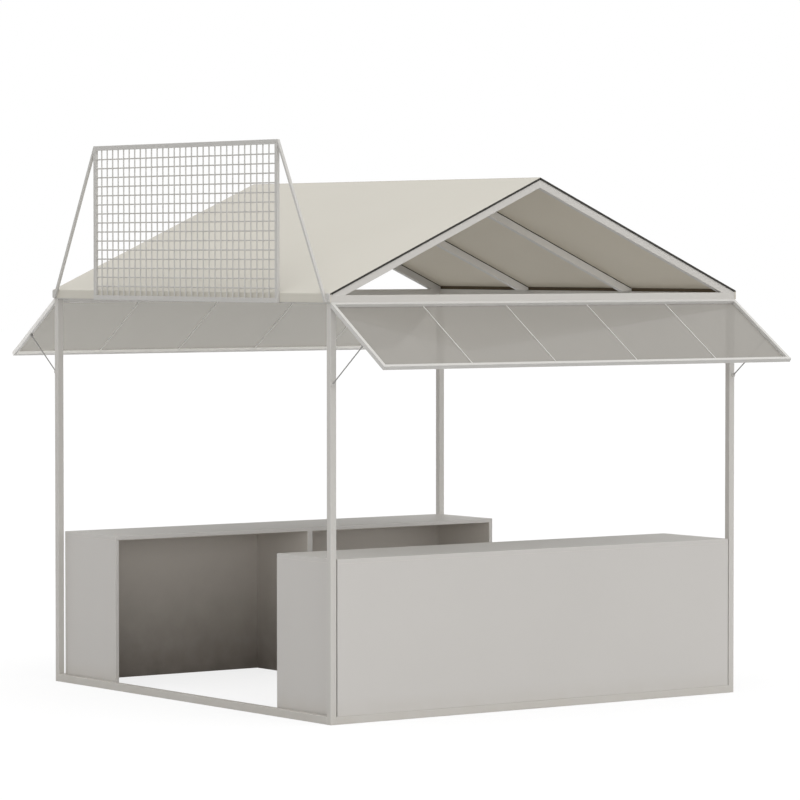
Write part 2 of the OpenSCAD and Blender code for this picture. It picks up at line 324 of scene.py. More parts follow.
# Painted light: a paler copy of the awning coat for the left awning's rails, which are lit less.
awning_painted_light_coat = coated("awning_powder_coat_pale", tone(234, 232, 228), tone(228, 226, 222), 0.45,
                          (0.4, 0.0016, 0.00006), tone(242, 241, 238))
roof_skin = coated("roof_lacquer", tone(196, 192, 182), tone(191, 187, 176), 0.55,
                   (0.9, 0.003, 0.00002))
roof_lining = coated("roof_lining", tone(205, 197, 180), tone(198, 190, 173), 0.6,
                     (0.7, 0.003, 0.00003))
roof_core = coated("roof_core_black", tone(52, 50, 46), tone(44, 42, 38), 0.8,
                   (0.05, 0.0015, 0.0002))
# Dark seal finish: real tape and foam, whose dark tones also paint the shade in the gaps under the
# sheet.
seal_foam = coated("seal_foam", tone(84, 72, 54), tone(74, 63, 46), 0.9,
                   (0.04, 0.0025, 0.0005))
sealant = coated("sealant", tone(176, 171, 158), tone(168, 163, 150), 0.6,
                 (0.1, 0.004, 0.0001))
counter_paint = coated("counter_satin_paint", tone(197, 194, 190), tone(193, 190, 186), 0.5,
                       (0.7, 0.0012, 0.00004), tone(206, 203, 199), DUST, specular=0.2)
# Painted shade: the working top is a darker copy of the counter paint, shaded by the roof.
counter_top_shaded = coated("counter_top_lacquer", tone(184, 181, 176), tone(180, 177, 172), 0.45,
                           (0.7, 0.0012, 0.00003), tone(200, 197, 192), specular=0.2)
# The inside's browner coat carries painted shade: it darkens towards the floor.
counter_inside = coated("counter_inside_paint", tone(214, 208, 200), tone(208, 202, 194), 0.6,
                        (0.5, 0.0012, 0.00004), dust=INSIDE_PAINTED_SHADE, specular=0.2)
zinc = coated("stay_zinc", tone(152, 150, 147), tone(136, 135, 132), 0.4,
              (0.012, 0.001, 0.00003), metal=0.6)
print("finishes:", [material.name for material in bpy.data.materials])

# %% [markdown]
# Tape and closers are one CAD node, but two things: black tape on the rafters, and brown foam
# on the eave ring. Their dark tones also paint the shade in the narrow gaps between the sheet,
# the rafters and the ring. They lie at different distances from the middle, so the Y of the
# Object coordinates tells them apart. The node needn't be cut in two: its finish changes there.

# %% Split tape and foam
FOAM_W = 31 * MM
TAPE_END = HALF_D - FOAM_W
tree = seal_foam.node_tree
surface = tree.nodes["Principled BSDF"]
place = add_node(tree, "ShaderNodeTexCoord")
parts = add_node(tree, "ShaderNodeSeparateXYZ")
tree.links.new(place.outputs["Object"], parts.inputs["Vector"])
away = math_node(tree, "ABSOLUTE", parts.outputs["Y"], 0.0)
is_foam = math_node(tree, "GREATER_THAN", away, TAPE_END)
foam_colour = surface.inputs["Base Color"].links[0].from_socket
# The tape's near-black tone also paints the shade along the rafters' tops.
tree.links.new(mix_tones(tree, is_foam, tone(40, 37, 32), foam_colour), surface.inputs["Base Color"])
print("foam begins at", round(TAPE_END, 3), "m")

# %% [markdown]
# ### Tinted glass
# The panes are grey body-tinted safety glass. Real tint is in the whole depth of the pane. A
# Principled shader can show it as partial transmission: part of the light passes, and the
# rest comes back from the grey body. Such a pane would also throw a black shadow, because
# light paths seldom find their way through it, so light that is on its way to something else
# finds the pane mostly clear: its alpha drops for shadow rays and diffuse rays.
# A slight unevenness in colour and gloss stops it from looking like plastic film. The left
# awning's panes get a paler copy of the tint, which is painted light on their shaded underside.


# %% Mix the glass
SHADE = 0.3
PANE_GRAIN = {"patch_size": 0.6, "grain_size": 0.05, "depth": 0.00002}
PANE_GLOSS = 0.06
PANE_IOR = 1.25
PANE_SPECULAR = 0.2


def tinted_glass(name, light, dark, passing):
    """A grey pane that lets part of the light through and throws a light shadow."""
    material = bpy.data.materials.new(name)
    material.use_nodes = True
    tree = material.node_tree
    surface = tree.nodes["Principled BSDF"]
    film = place_group(tree, grain_group, **PANE_GRAIN)
    colour = mix_tones(tree, film.outputs["Patches"], light, dark)
    gloss = math_node(tree, "MULTIPLY", film.outputs["Grain"], PANE_GLOSS)
    tree.links.new(colour, surface.inputs["Base Color"])
    tree.links.new(gloss, surface.inputs["Roughness"])
    tree.links.new(film.outputs["Normal"], surface.inputs["Normal"])
    surface.inputs["IOR"].default_value = PANE_IOR
    surface.inputs["Specular IOR Level"].default_value = PANE_SPECULAR
    surface.inputs["Transmission Weight"].default_value = passing
    path = add_node(tree, "ShaderNodeLightPath")
    passer_by = math_node(tree, "MAXIMUM", path.outputs["Is Shadow Ray"], path.outputs["Is Diffuse Ray"])
    cleared = math_node(tree, "MULTIPLY", passer_by, 1 - SHADE)
    tree.links.new(math_node(tree, "SUBTRACT", 1.0, cleared), surface.inputs["Alpha"])
    return material


# The left panes' paler tint is painted light: one glass, lit less on the side that is seen.
glass = {
    "left": tinted_glass("awning_glass_pale", tone(208, 205, 198), tone(204, 201, 194), 0.5),
    "right": tinted_glass("awning_glass_grey", tone(161, 158, 152), tone(157, 154, 148), 0.4),
}
print("glass finishes:", [material.name for material in glass.values()])

# %% [markdown]
# ## From a CAD solid to a made piece
# A CAD bar has knife edges, which no steel tube has. The softened copy starts from the CAD
# mesh: its doubled points are merged, its flat faces are made whole again, and its corner
# edges are rounded. A Bevel modifier would do that too, but the operator lets every piece
# choose its edges one by one. A Weighted Normal modifier keeps the large faces flat in the
# shading, so only the rounded edges catch the light.


# %% Helpers for pieces
SAME_POINT = 0.01 * MM
FLAT = math.radians(0.5)
CORNER = math.radians(15)
CREASE = math.radians(35)


def merged_copy(node):
    """A clean bmesh of one CAD node, with whole flat faces."""
    shape = bmesh.new()
    shape.from_mesh(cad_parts[node].data)
    bmesh.ops.remove_doubles(shape, verts=shape.verts, dist=SAME_POINT)
    bmesh.ops.dissolve_limit(shape, angle_limit=FLAT, verts=shape.verts, edges=shape.edges)
    return shape


def round_corners(shape, radius, steps, longer_than=0.0, verts=None):
    """Rounds the edges that turn a corner and are long enough."""
    edges = shape.edges if verts is None else {edge for vert in verts for edge in vert.link_edges}
    corners = [edge for edge in edges
               if edge.calc_length() > longer_than and edge.calc_face_angle(0) > CORNER]
    bmesh.ops.bevel(shape, geom=corners, offset=radius, offset_type="OFFSET", affect="EDGES",
                    segments=steps, profile=0.5, material=-1)


def make_piece(name, shape, material, slot, *replaced):
    """Turns a bmesh into a finished piece that rides on the frame."""
    for face in shape.faces:
        face.smooth = True
        face.material_index = 0
    for edge in shape.edges:
        edge.smooth = edge.calc_face_angle(0) < CREASE
    mesh = bpy.data.meshes.new(name)
    shape.to_mesh(mesh)
    shape.free()
    if "custom_normal" in mesh.attributes:
        mesh.attributes.remove(mesh.attributes["custom_normal"])
    mesh.materials.append(material)
    piece = bpy.data.objects.new(name, mesh)
    bpy.context.scene.collection.objects.link(piece)
    shading = piece.modifiers.new("even_shading", "WEIGHTED_NORMAL")
    shading.keep_sharp = True
    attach(piece, "root")
    if replaced:
        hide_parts(*replaced)
    return piece


def softened(node, radius, steps, material, slot, ending, longer_than=0.0):
    """A CAD node's own shape with rounded corners, standing for that node."""
    shape = merged_copy(node)
    round_corners(shape, radius, steps, longer_than)
    return make_piece(node + ending, shape, material, slot, node)


def paint_faces(piece, material, picked):
    """Gives the faces that picked says yes to a finish of their own. Returns how many."""
    piece.data.materials.append(material)
    faces = [face for face in piece.data.polygons if picked(face)]
    for face in faces:
        face.material_index = len(piece.data.materials) - 1
    return len(faces)


def face_count(name):
    """Number of faces in a finished piece."""
    return len(bpy.data.objects[name].data.polygons)


# %% [markdown]
# ## The frame's tubes
# Posts, beams and rafters are square steel tubes. A tube's long corners are rolled to a small
# radius, while its ends are sawn square and welded. Rounding every edge would make cushions of
# them, so a least length picks the long ones. All tubes are made alike, in one loop.

# %% Make the tubes
TUBE_RADIUS = 3 * MM
SHORTEST_CORNER = 0.2
FRAME_STARTS = ("base_beam", "post", "eave_beam", "tie_beam", "rafter")
tubes = [softened(node, TUBE_RADIUS, 3, frame_coat, "frame", "_tube", SHORTEST_CORNER)
         for node in sorted(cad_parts) if node.startswith(FRAME_STARTS)]
print("tubes:", len(tubes), "faces in one post:", face_count("post_front_left_tube"))

# %% [markdown]
# Under the roof the light from outside reaches the inner rafters' sides only through the
# gables, so they are lit less than the other faces of the frame. Those sides get a paler copy
# of the coat, which is painted light, so that they stand out from the lining. Their undersides,
# which the floor lights, keep the plain coat.

# %% Paint light onto the inner rafters' sides
SIDEWAYS = 0.9
inner_rafters = [tube for tube in tubes
                 if tube.name.startswith("rafter") and not tube.name.endswith(("_1_tube", "_4_tube"))]
for rafter in inner_rafters:
    painted = paint_faces(rafter, rafter_painted_light_coat, lambda face: abs(face.normal.x) > SIDEWAYS)
print("inner rafters:", len(inner_rafters), "side faces on each:", painted)

# %% [markdown]
# ## Weld beads
# The tubes are welded all round where they meet, and the beads are dressed until they stand
# about a millimetre proud. A curve with a round profile could draw them, but it would stay
# open at its ends. Here a bead is a capsule: a small sphere whose two halves are pulled apart
# along the joint. Capsules are laid on the edges of each tube's end.

# %% Lay the beads of the square joints
BEAD_RADIUS = 2.4 * MM
BEAD_SINK = 1.4 * MM
LOWEST_BEAD = 2 * BEAD_RADIUS
weld_shape = bmesh.new()


def set_along(middle, direction):
    """The matrix that turns +Z to a direction and moves the origin to a point."""
    return Matrix.Translation(middle) @ direction.to_track_quat("Z", "Y").to_matrix().to_4x4()


def add_bead(shape, start, end, radius=BEAD_RADIUS):
    """A capsule from start to end."""
    run = end - start
    ball = bmesh.ops.create_uvsphere(shape, u_segments=8, v_segments=5, radius=radius)["verts"]
    for vert in ball:
        vert.co.z += math.copysign(run.length / 2, vert.co.z)
    bmesh.ops.transform(shape, matrix=set_along((start + end) / 2, run), verts=ball)


def bead_round_end(node, axis, plane):
    """Beads along the four edges of a tube's end, leaving out an edge on the ground."""
    low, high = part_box(node)
    sides = [side for side in range(3) if side != axis]
    sunk = Vector((BEAD_SINK,) * 3)
    inner, outer = low + sunk, high - sunk
    turns = [(inner, inner), (outer, inner), (outer, outer), (inner, outer)]
    corners = []
    for first, second in turns:
        corner = Vector((plane,) * 3)
        corner[sides[0]] = first[sides[0]]
        corner[sides[1]] = second[sides[1]]
        corner.z = max(corner.z, LOWEST_BEAD)
        corners.append(corner)
    for start, end in zip(corners, corners[1:] + corners[:1]):
        if max(start.z, end.z) > LOWEST_BEAD + BEAD_RADIUS:
            add_bead(weld_shape, start, end)


for node in sorted(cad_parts):
    low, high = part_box(node)
    if node.startswith("post"):
        bead_round_end(node, 2, high.z)
    elif node in ("base_beam_front", "base_beam_back"):
        bead_round_end(node, 0, low.x)
        bead_round_end(node, 0, high.x)
    elif node in ("base_beam_left", "base_beam_right", "tie_beam_left", "tie_beam_right"):
        bead_round_end(node, 1, low.y)
        bead_round_end(node, 1, high.y)
print("faces in the square joints' beads:", len(weld_shape.faces))

# %% [markdown]
# A rafter stands on the eave ring along its foot and meets its partner in a plumb joint under
# the ridge. The foot's inner end is found in the mesh: it is the point at the ring's top that
# lies furthest in.

# %% Lay the rafters' beads
HEEL_GAP = 5 * MM
TOE_GAP = 3 * MM


def rafter_toe(node):
    """Distance from the middle to a rafter foot's inner end."""
    points = [vert.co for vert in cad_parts[node].data.vertices]
    return min(abs(point.y) for point in points if abs(point.z - RING_TOP) < MM)


for node in sorted(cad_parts):
    if not node.startswith("rafter"):
        continue
    low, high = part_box(node)
    side = -1 if low.y < -MM else 1
    toe = rafter_toe(node)
    for x in (low.x + BEAD_SINK, high.x - BEAD_SINK):
        start = Vector((x, side * toe, RING_TOP))
        add_bead(weld_shape, start, Vector((x, side * (HALF_D - HEEL_GAP), RING_TOP)))
    add_bead(weld_shape, Vector((low.x + TOE_GAP, side * toe, RING_TOP)),
             Vector((high.x - TOE_GAP, side * toe, RING_TOP)))
make_piece("frame_weld_beads", weld_shape, frame_coat, "frame")
print("faces in all beads:", face_count("frame_weld_beads"))

# %% [markdown]
# ## Roof panels in three layers
# Each roof panel is one composite sheet, folded down over the eave. From the gable a thin
# black line shows along its edge: the core between two skins. Painting that line on would
# look wrong from close by, so each layer is a solid of its own. A layer starts as a flat
# outline of six points, its two fold corners are rounded, and it is extruded along the ridge.

# %% Make the layers
SKIN_T = 0.4 * MM
END_STRIP = 0.4 * MM
FOLD_RADIUS = 8 * MM
FOLD_STEPS = 5
FOLD_TURN = math.pi / 2 - ROOF_SLOPE
RIDGE_Z = panel_high.z
FASCIA_Z = panel_low.z
FASCIA_Y = -panel_low.y


def sheet_line(depth):
    """Foot, fold and ridge of the line at a depth below the sheet's outer face."""
    lowered = RIDGE_Z - depth / math.cos(ROOF_SLOPE)
    y = FASCIA_Y - depth
    return [(y, FASCIA_Z), (y, lowered - y * math.tan(ROOF_SLOPE)), (0, lowered)]


def pull_out(shape, along):
    """Pulls a flat outline into a solid."""
    pulled = bmesh.ops.extrude_face_region(shape, geom=shape.faces[:])["geom"]
    bmesh.ops.translate(shape, vec=along,
                        verts=[part for part in pulled if isinstance(part, bmesh.types.BMVert)])
    bmesh.ops.recalc_face_normals(shape, faces=shape.faces)


def roof_layer(name, side, outer, inner, material, *replaced):
    """One layer of a roof panel, from depth outer to depth inner."""
    shape = bmesh.new()
    points = sheet_line(outer) + sheet_line(inner)[::-1]
    verts = [shape.verts.new((panel_low.x + END_STRIP, side * y, z)) for y, z in points]
    shape.faces.new(verts)
    for vert, depth in ((verts[1], outer), (verts[4], inner)):
        reach = (FOLD_RADIUS - depth) * math.tan(FOLD_TURN / 2)
        bmesh.ops.bevel(shape, geom=[vert], offset=reach, offset_type="OFFSET",
                        affect="VERTICES", segments=FOLD_STEPS, profile=0.5, material=-1)
    pull_out(shape, (panel_high.x - panel_low.x - 2 * END_STRIP, 0, 0))
    make_piece(name, shape, material, "roof_panel", *replaced)


for end, side in (("front", -1), ("back", 1)):
    roof_layer(f"roof_skin_{end}", side, 0, SKIN_T, roof_skin, f"roof_panel_{end}")
    roof_layer(f"roof_core_{end}", side, SKIN_T, PANEL_T - SKIN_T, roof_core)
    roof_layer(f"roof_lining_{end}", side, PANEL_T - SKIN_T, PANEL_T, roof_lining)
print("ridge at", round(RIDGE_Z, 4), "fascia foot at", round(FASCIA_Z, 4))

# %% [markdown]
# The black core shows along the slope only. On the upright fascia both ends are closed with a
# strip of the skin, so a thin plate stands in front of the layers there.


# %% Close the fascia's ends
def add_box(shape, middle, size):
    """A box of a size around a point. Returns its points."""
    points = bmesh.ops.create_cube(shape, size=1)["verts"]
    bmesh.ops.scale(shape, vec=size, verts=points)
    bmesh.ops.translate(shape, vec=middle, verts=points)
    return points


strip_top = sheet_line(0)[1][1] - FOLD_RADIUS
strip_shape = bmesh.new()
for x in (panel_low.x, panel_high.x - END_STRIP):
    for side in (-1, 1):
        middle = (x + END_STRIP / 2, side * (FASCIA_Y - PANEL_T / 2), (strip_top + FASCIA_Z) / 2)
        add_box(strip_shape, middle, (END_STRIP, PANEL_T, strip_top - FASCIA_Z))
make_piece("fascia_end_strips", strip_shape, roof_skin, "roof_panel")
print("strip height in mm:", round((strip_top - FASCIA_Z) / MM, 1))

# %% [markdown]
# Under the sheets' overhang at the gables sits a black rubber trim. It covers the tape on the
# outer rafter, so the line along the gable is a little bolder than the sheet is thick. It is
# a flat bar along the slope, from the fold up to the ridge.

# %% Lay the gable trim
TRIM_H = 12 * MM
TRIM_T = 3.7 * MM
TRIM_IN = 0.2 * MM
fold_y, fold_z = sheet_line(SKIN_T)[1]
trim_length = (fold_y - FOLD_RADIUS) / math.cos(ROOF_SLOPE)
trim_shape = bmesh.new()
for x in (panel_low.x + TRIM_IN, panel_high.x - TRIM_IN - TRIM_T):
    for side in (-1, 1):
        middle = (x + TRIM_T / 2, side * trim_length / 2, -TRIM_H / 2)
        bar = add_box(trim_shape, middle, (TRIM_T, trim_length, TRIM_H))
        for vert in bar:
            if abs(vert.co.y) < MM:
                vert.co.y = side * vert.co.z * math.tan(ROOF_SLOPE)
        turn = Matrix.Rotation(-side * ROOF_SLOPE, 4, "X")
        ridge = Matrix.Translation((0, 0, sheet_line(SKIN_T)[2][1]))
        bmesh.ops.transform(trim_shape, matrix=ridge @ turn, verts=bar)
make_piece("gable_edge_trim", trim_shape, roof_core, "seal")
print("trim length in m:", round(trim_length, 3))

# %% [markdown]
# ## Ridge joint and seals
# The two sheets meet along the ridge, and a narrow bead of sealant closes the joint. Under
# the sheets lies black tape on the rafters and dark foam on the eave ring. Those strips keep
# their CAD shape and only take a dark finish, whose tones also paint the shade in the gaps
# under the sheet.

# %% Seal the roof
RIDGE_BEAD = 2 * MM
RIDGE_IN = 3 * MM
RIDGE_DOWN = 0.6 * RIDGE_BEAD
ridge_shape = bmesh.new()
add_bead(ridge_shape, Vector((panel_low.x + RIDGE_IN, 0, RIDGE_Z - RIDGE_DOWN)),
         Vector((panel_high.x - RIDGE_IN, 0, RIDGE_Z - RIDGE_DOWN)), RIDGE_BEAD)
make_piece("ridge_sealant", ridge_shape, sealant, "seal")


def dress_node(node, material):
    """Gives a CAD node that stays its finish."""
    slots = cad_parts[node].data.materials
    slots.clear()
    slots.append(material)


for end in ("front", "back"):
    dress_node(f"roof_seal_{end}", seal_foam)
print("seals dressed")

# %% [markdown]
# ## The sign's frame
# The sign panel's frame is four flat tubes with mitred corners. One ring would be simpler, but
# it would have no joints. A mitred bar is a cube that is scaled to size and whose inner edge
# is then drawn in at both ends, by the bar's width. Its edges are rounded too, which leaves
# the fine groove of the mitre joint between two bars.

# %% Make the mitred frame
SIGN_BAR = 28 * MM
SIGN_RADIUS = 1.5 * MM
sign_low, sign_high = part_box("sign_frame")
SIGN_W = sign_high.x - sign_low.x
SIGN_H = sign_high.z - sign_low.z
SIGN_T = sign_high.y - sign_low.y
sign_middle = (sign_low + sign_high) / 2


def add_mitred_bar(shape, length, width, depth, place):
    """A bar along X whose outer edge lies on Z = 0, put in place by a matrix."""
    bar = add_box(shape, (0, 0, -width / 2), (length, depth, width))
    for vert in bar:
        if vert.co.z < -width / 2:
            vert.co.x *= 1 - 2 * width / length
    bmesh.ops.transform(shape, matrix=place, verts=bar)
    round_corners(shape, SIGN_RADIUS, 3, verts=bar)


sign_shape = bmesh.new()
for quarter in range(4):
    upright = quarter % 2
    length, out = (SIGN_H, SIGN_W / 2) if upright else (SIGN_W, SIGN_H / 2)
    turn = Matrix.Rotation(quarter * math.pi / 2, 4, "Y")
    place = Matrix.Translation(sign_middle) @ turn @ Matrix.Translation((0, 0, out))
    add_mitred_bar(sign_shape, length, SIGN_BAR, SIGN_T, place)
make_piece("sign_frame_bars", sign_shape, sign_coat, "sign", "sign_frame")
print("sign", round(SIGN_W, 3), "by", round(SIGN_H, 3))

# %% [markdown]
# ## Welded wire mesh
# The mesh is a sheet of round wires: the uprights lie in front of the cross wires, and every
# crossing is resistance-welded, which presses the wires a little into each other. A Wireframe
# modifier on a grid would give square bars in one plane. So each wire is a capped cylinder of
# twelve sides, and at a crossing sits a squashed ball of few faces, because there are more
# than four hundred of them.

# %% Lay the wires
CELLS_ACROSS = 31
CELLS_UP = 16
WIRE_SINK = 1 * MM
WIRE_HOLD = 4 * MM
NUGGET = 0.62
NUGGET_FLAT = 0.55
mesh_low, mesh_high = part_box("sign_mesh_left")
WIRE = mesh_high.y - mesh_low.y
WIRE_MID_Y = (mesh_low.y + mesh_high.y) / 2
opening_low = Vector((sign_low.x + SIGN_BAR, WIRE_MID_Y, sign_low.z + SIGN_BAR))
opening_high = Vector((sign_high.x - SIGN_BAR, WIRE_MID_Y, sign_high.z - SIGN_BAR))
upright_y = WIRE_MID_Y - (WIRE - WIRE_SINK) / 2
cross_y = WIRE_MID_Y + (WIRE - WIRE_SINK) / 2


def add_rod(shape, start, end, radius, sides=12, end_radius=None):
    """A capped cylinder or cone from start to end. Returns its points."""
    run = end - start
    last = radius if end_radius is None else end_radius
    rod = bmesh.ops.create_cone(shape, cap_ends=True, segments=sides, radius1=radius,
                                radius2=last, depth=run.length)["verts"]
    bmesh.ops.transform(shape, matrix=set_along((start + end) / 2, run), verts=rod)
    return rod


pitch_x = (opening_high.x - opening_low.x) / CELLS_ACROSS
pitch_z = (opening_high.z - opening_low.z) / CELLS_UP
upright_x = [opening_low.x + i * pitch_x for i in range(1, CELLS_ACROSS)]
cross_z = [opening_low.z + j * pitch_z for j in range(1, CELLS_UP)]
wire_shape = bmesh.new()
for x in upright_x:
    add_rod(wire_shape, Vector((x, upright_y, opening_low.z - WIRE_HOLD)),
            Vector((x, upright_y, opening_high.z + WIRE_HOLD)), WIRE / 2)
for z in cross_z:
    add_rod(wire_shape, Vector((opening_low.x - WIRE_HOLD, cross_y, z)),
            Vector((opening_high.x + WIRE_HOLD, cross_y, z)), WIRE / 2)
for x in upright_x:
    for z in cross_z:
        nugget = bmesh.ops.create_icosphere(wire_shape, subdivisions=1, radius=WIRE * NUGGET)["verts"]
        bmesh.ops.scale(wire_shape, vec=(1, NUGGET_FLAT, 1), verts=nugget)
        bmesh.ops.translate(wire_shape, vec=(x, WIRE_MID_Y, z), verts=nugget)
make_piece("sign_wire_mesh", wire_shape, sign_coat, "sign", "sign_mesh_left", "sign_mesh_right")
cell = [round(pitch / MM, 1) for pitch in (pitch_x, pitch_z)]
print("cell in mm:", cell, "faces:", face_count("sign_wire_mesh"))

# %% [markdown]
# ## Sign braces
# Two square bars run from the sign's upper corners to the ends of the fascia. Each ends on a
# small plate with round corners, held by two button-head screws. A turned cube would have
# square ends. The bar is a four-point outline instead, cut plumb at the sign and level at the
# foot, and pulled to its depth. The left brace is the right one mirrored.

# %% Make the braces
BRACE = 16 * MM
FOOT_IN = 20 * MM
FOOT_UP = 4 * MM
PLATE = Vector((36, 6, 52)) * MM
PLATE_CORNER = 9 * MM
SCREW_RADIUS = 4 * MM
SCREW_FLAT = 0.5
SCREW_ACROSS = 0.8
SCREW_HEIGHTS = (0.18, 0.82)
FACE_Y = -FASCIA_Y


def add_plate(shape, low, size, corner):
    """An upright plate whose four corners are round."""
    edges = {edge for vert in add_box(shape, low + size / 2, size) for edge in vert.link_edges}
    through = [edge for edge in edges if abs(edge.verts[0].co.y - edge.verts[1].co.y) > MM]
    bmesh.ops.bevel(shape, geom=through, offset=corner, offset_type="OFFSET", affect="EDGES",
                    segments=6, profile=0.5, material=-1)


def add_screw(shape, seat, out, radius):
    """A button head: half a flattened ball on its seat."""
    head = bmesh.ops.create_uvsphere(shape, u_segments=16, v_segments=8, radius=radius)["verts"]
    flat = Matrix.Diagonal((1, 1, SCREW_FLAT, 1))
    bmesh.ops.transform(shape, matrix=set_along(seat, out) @ flat, verts=head)


def mirror_in_x(shape):
    """The same shape on the other side of the stall."""
    bmesh.ops.scale(shape, vec=(-1, 1, 1), verts=shape.verts)
    bmesh.ops.reverse_faces(shape, faces=shape.faces)


for name, side in (("left", -1), ("right", 1)):
    shape = bmesh.new()
    top = Vector((sign_high.x, sign_high.z))
    foot = Vector((HALF_W - FOOT_IN, FASCIA_Z + FOOT_UP))
    run, drop = foot.x - top.x, top.y - foot.y
    cut = BRACE * math.hypot(run, drop) / run
    outline = [top, foot, (foot.x - cut * run / drop, foot.y), (top.x, top.y - cut)]
    shape.faces.new([shape.verts.new((x, FACE_Y, z)) for x, z in outline])
    pull_out(shape, (0, -BRACE, 0))
    round_corners(shape, SIGN_RADIUS, 3)
    plate_low = Vector((panel_high.x - PLATE.x, FACE_Y - PLATE.y, FASCIA_Z))
    add_plate(shape, plate_low, PLATE, PLATE_CORNER)
    for height in SCREW_HEIGHTS:
        seat = plate_low + Vector((PLATE.x * SCREW_ACROSS, 0, PLATE.z * height))
        add_screw(shape, seat, Vector((0, -1, 0)), SCREW_RADIUS)
    if side < 0:
        mirror_in_x(shape)
    make_piece(f"sign_brace_{name}_bar", shape, sign_coat, "sign", f"sign_brace_{name}")
print("brace run and drop in m:", round(run, 3), round(drop, 3))

# %% [markdown]
# ## Awnings
# An awning is a frame of rails, thin bars between five panes, and the panes. The CAD solids
# already leave an opening that fits each pane, so building them anew would only risk a gap:
# rails and bars keep that shape, with finely rounded edges. The panes are cut glass with
# ground edges, so they get a narrow bevel that shows as a bright line.

# %% Make the awning frames and panes
RAIL_RADIUS = 1 * MM
GROUND_EDGE = 0.8 * MM
# The left rails take the paler copy of the coat, which is painted light.
for side, rail_coat in (("left", awning_painted_light_coat), ("right", awning_coat)):
    softened(f"awning_frame_{side}", RAIL_RADIUS, 2, rail_coat, "awning_frame", "_rails")
    softened(f"awning_glass_{side}", GROUND_EDGE, 1, glass[side], "awning_glass", "_panes")
print("faces in one awning's rails:", face_count("awning_frame_right_rails"))

# %% [markdown]
# ## Awning stays
# A rod holds each corner of an awning up from its post. It is built like a real stay: a round
# foot with a nut on the post, a sleeve where the rod enters it, the rod, and a second sleeve
# at the lug under the awning's side rail. The foot and its nut have the posts' coat, and the
# rest is bare zinc. The head's place is worked out in the awning's own frame, with X down the
# slope and Z square to the panes, just as the real lug is set out.

# %% Make the stays
ROD = 7 * MM
ROD_SIDES = 24
SLEEVE = 11 * MM
SLEEVE_FROM = 6 * MM
SLEEVE_TO = 24 * MM
BOSS_R = 12 * MM
BOSS_T = 8 * MM
BOSS_SIDES = 48
BOSS_EDGE = 1.2 * MM
NUT_R = 6 * MM
NUT_T = 0.6 * BOSS_T
NUT_EDGE = 0.5 * MM
STAY_IN = 12 * MM
STAY_REACH = 299 * MM
RAIL_T = 25 * MM
LUG = Vector((16, 16, 12)) * MM
LUG_EDGE = 2 * MM
FOOT_END = HALF_W + BOSS_T + NUT_T + 0.2 * MM
HINGE_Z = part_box("awning_frame_right")[1].z
STAY_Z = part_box("awning_stays_right")[0].z + BOSS_R
down_slope = Matrix.Rotation(AWNING_SLOPE, 4, "Y")
hinge = Matrix.Translation((HALF_W, 0, HINGE_Z))
lug_middle = -RAIL_T - LUG.z / 2
head_s = (STAY_REACH - lug_middle * math.sin(AWNING_SLOPE)) / math.cos(AWNING_SLOPE)
for name, side in (("left", -1), ("right", 1)):
    shape = bmesh.new()
    for end in (-1, 1):
        y = end * (HALF_D - STAY_IN)
        foot = Vector((HALF_W, y, STAY_Z))
        out = Vector((BOSS_T, 0, 0))
        boss = add_rod(shape, foot, foot + out, BOSS_R, BOSS_SIDES)
        round_corners(shape, BOSS_EDGE, 3, verts=boss)
        nut = add_rod(shape, foot + out, foot + out + Vector((NUT_T, 0, 0)), NUT_R, 6)
        round_corners(shape, NUT_EDGE, 2, verts=nut)
        head = hinge @ down_slope @ Vector((head_s, y, lug_middle))
        start = foot + out / 2
        along = (head - start).normalized()
        add_rod(shape, start, head, ROD / 2, ROD_SIDES)
        sleeve = [start + along * distance for distance in (SLEEVE_FROM, SLEEVE_TO)]
        add_rod(shape, *sleeve, SLEEVE / 2, ROD_SIDES, ROD / 2)
        add_rod(shape, head - along * SLEEVE_TO, head, ROD / 2, ROD_SIDES, SLEEVE / 2)
        lug = add_box(shape, (0, 0, 0), LUG)
        bmesh.ops.transform(shape, matrix=Matrix.Translation(head) @ down_slope, verts=lug)
        round_corners(shape, LUG_EDGE, 3, verts=lug)
    if side < 0:
        mirror_in_x(shape)
    stays = make_piece(f"awning_stays_{name}_rods", shape, zinc, "awning_frame", f"awning_stays_{name}")
    paint_faces(stays, frame_coat, lambda face: abs(face.center.x) < FOOT_END)
print("stay length in m:", round((head - start).length, 3))

# %% [markdown]
# ## Counters
# The counters are boards with a sprayed satin finish: a top, an outer panel, two ends and a
# divider, and they are open towards the inside. Painted board edges are sanded to a small
# radius. That radius also leaves a hair-fine line where two boards meet.

# %% Make the boards
BOARD_RADIUS = 1.2 * MM
boards = [softened(node, BOARD_RADIUS, 3, counter_paint, "counter", "_board")
          for node in sorted(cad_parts) if node.startswith("counter")]
print("boards:", len(boards))

# %% [markdown]
# The inside of a counter has a thin browner coat, with painted shade that darkens it towards
# the floor. Its working top has a harder lacquer whose darker tone is painted shade from the
# roof. Both could be thin sheets laid on the boards, but a second finish on some faces is
# lighter and can't flicker. The inside is the top's underside, the outer panel's inner face,
# the ends' faces that look at each other, and both faces of the divider: a face is picked by
# where it points.

# %% Paint the insides and the working tops
FACING = 0.7
INWARD = {"top": (0, 0, -1), "end_front": (0, 1, 0), "end_back": (0, -1, 0), "divider": (0, 1, 0)}


def looks_inside(face, part, inward):
    """Whether a board's face is part of a counter's inside."""
    facing = face.normal.dot(inward)
    return facing > FACING or (part == "divider" and facing < -FACING)


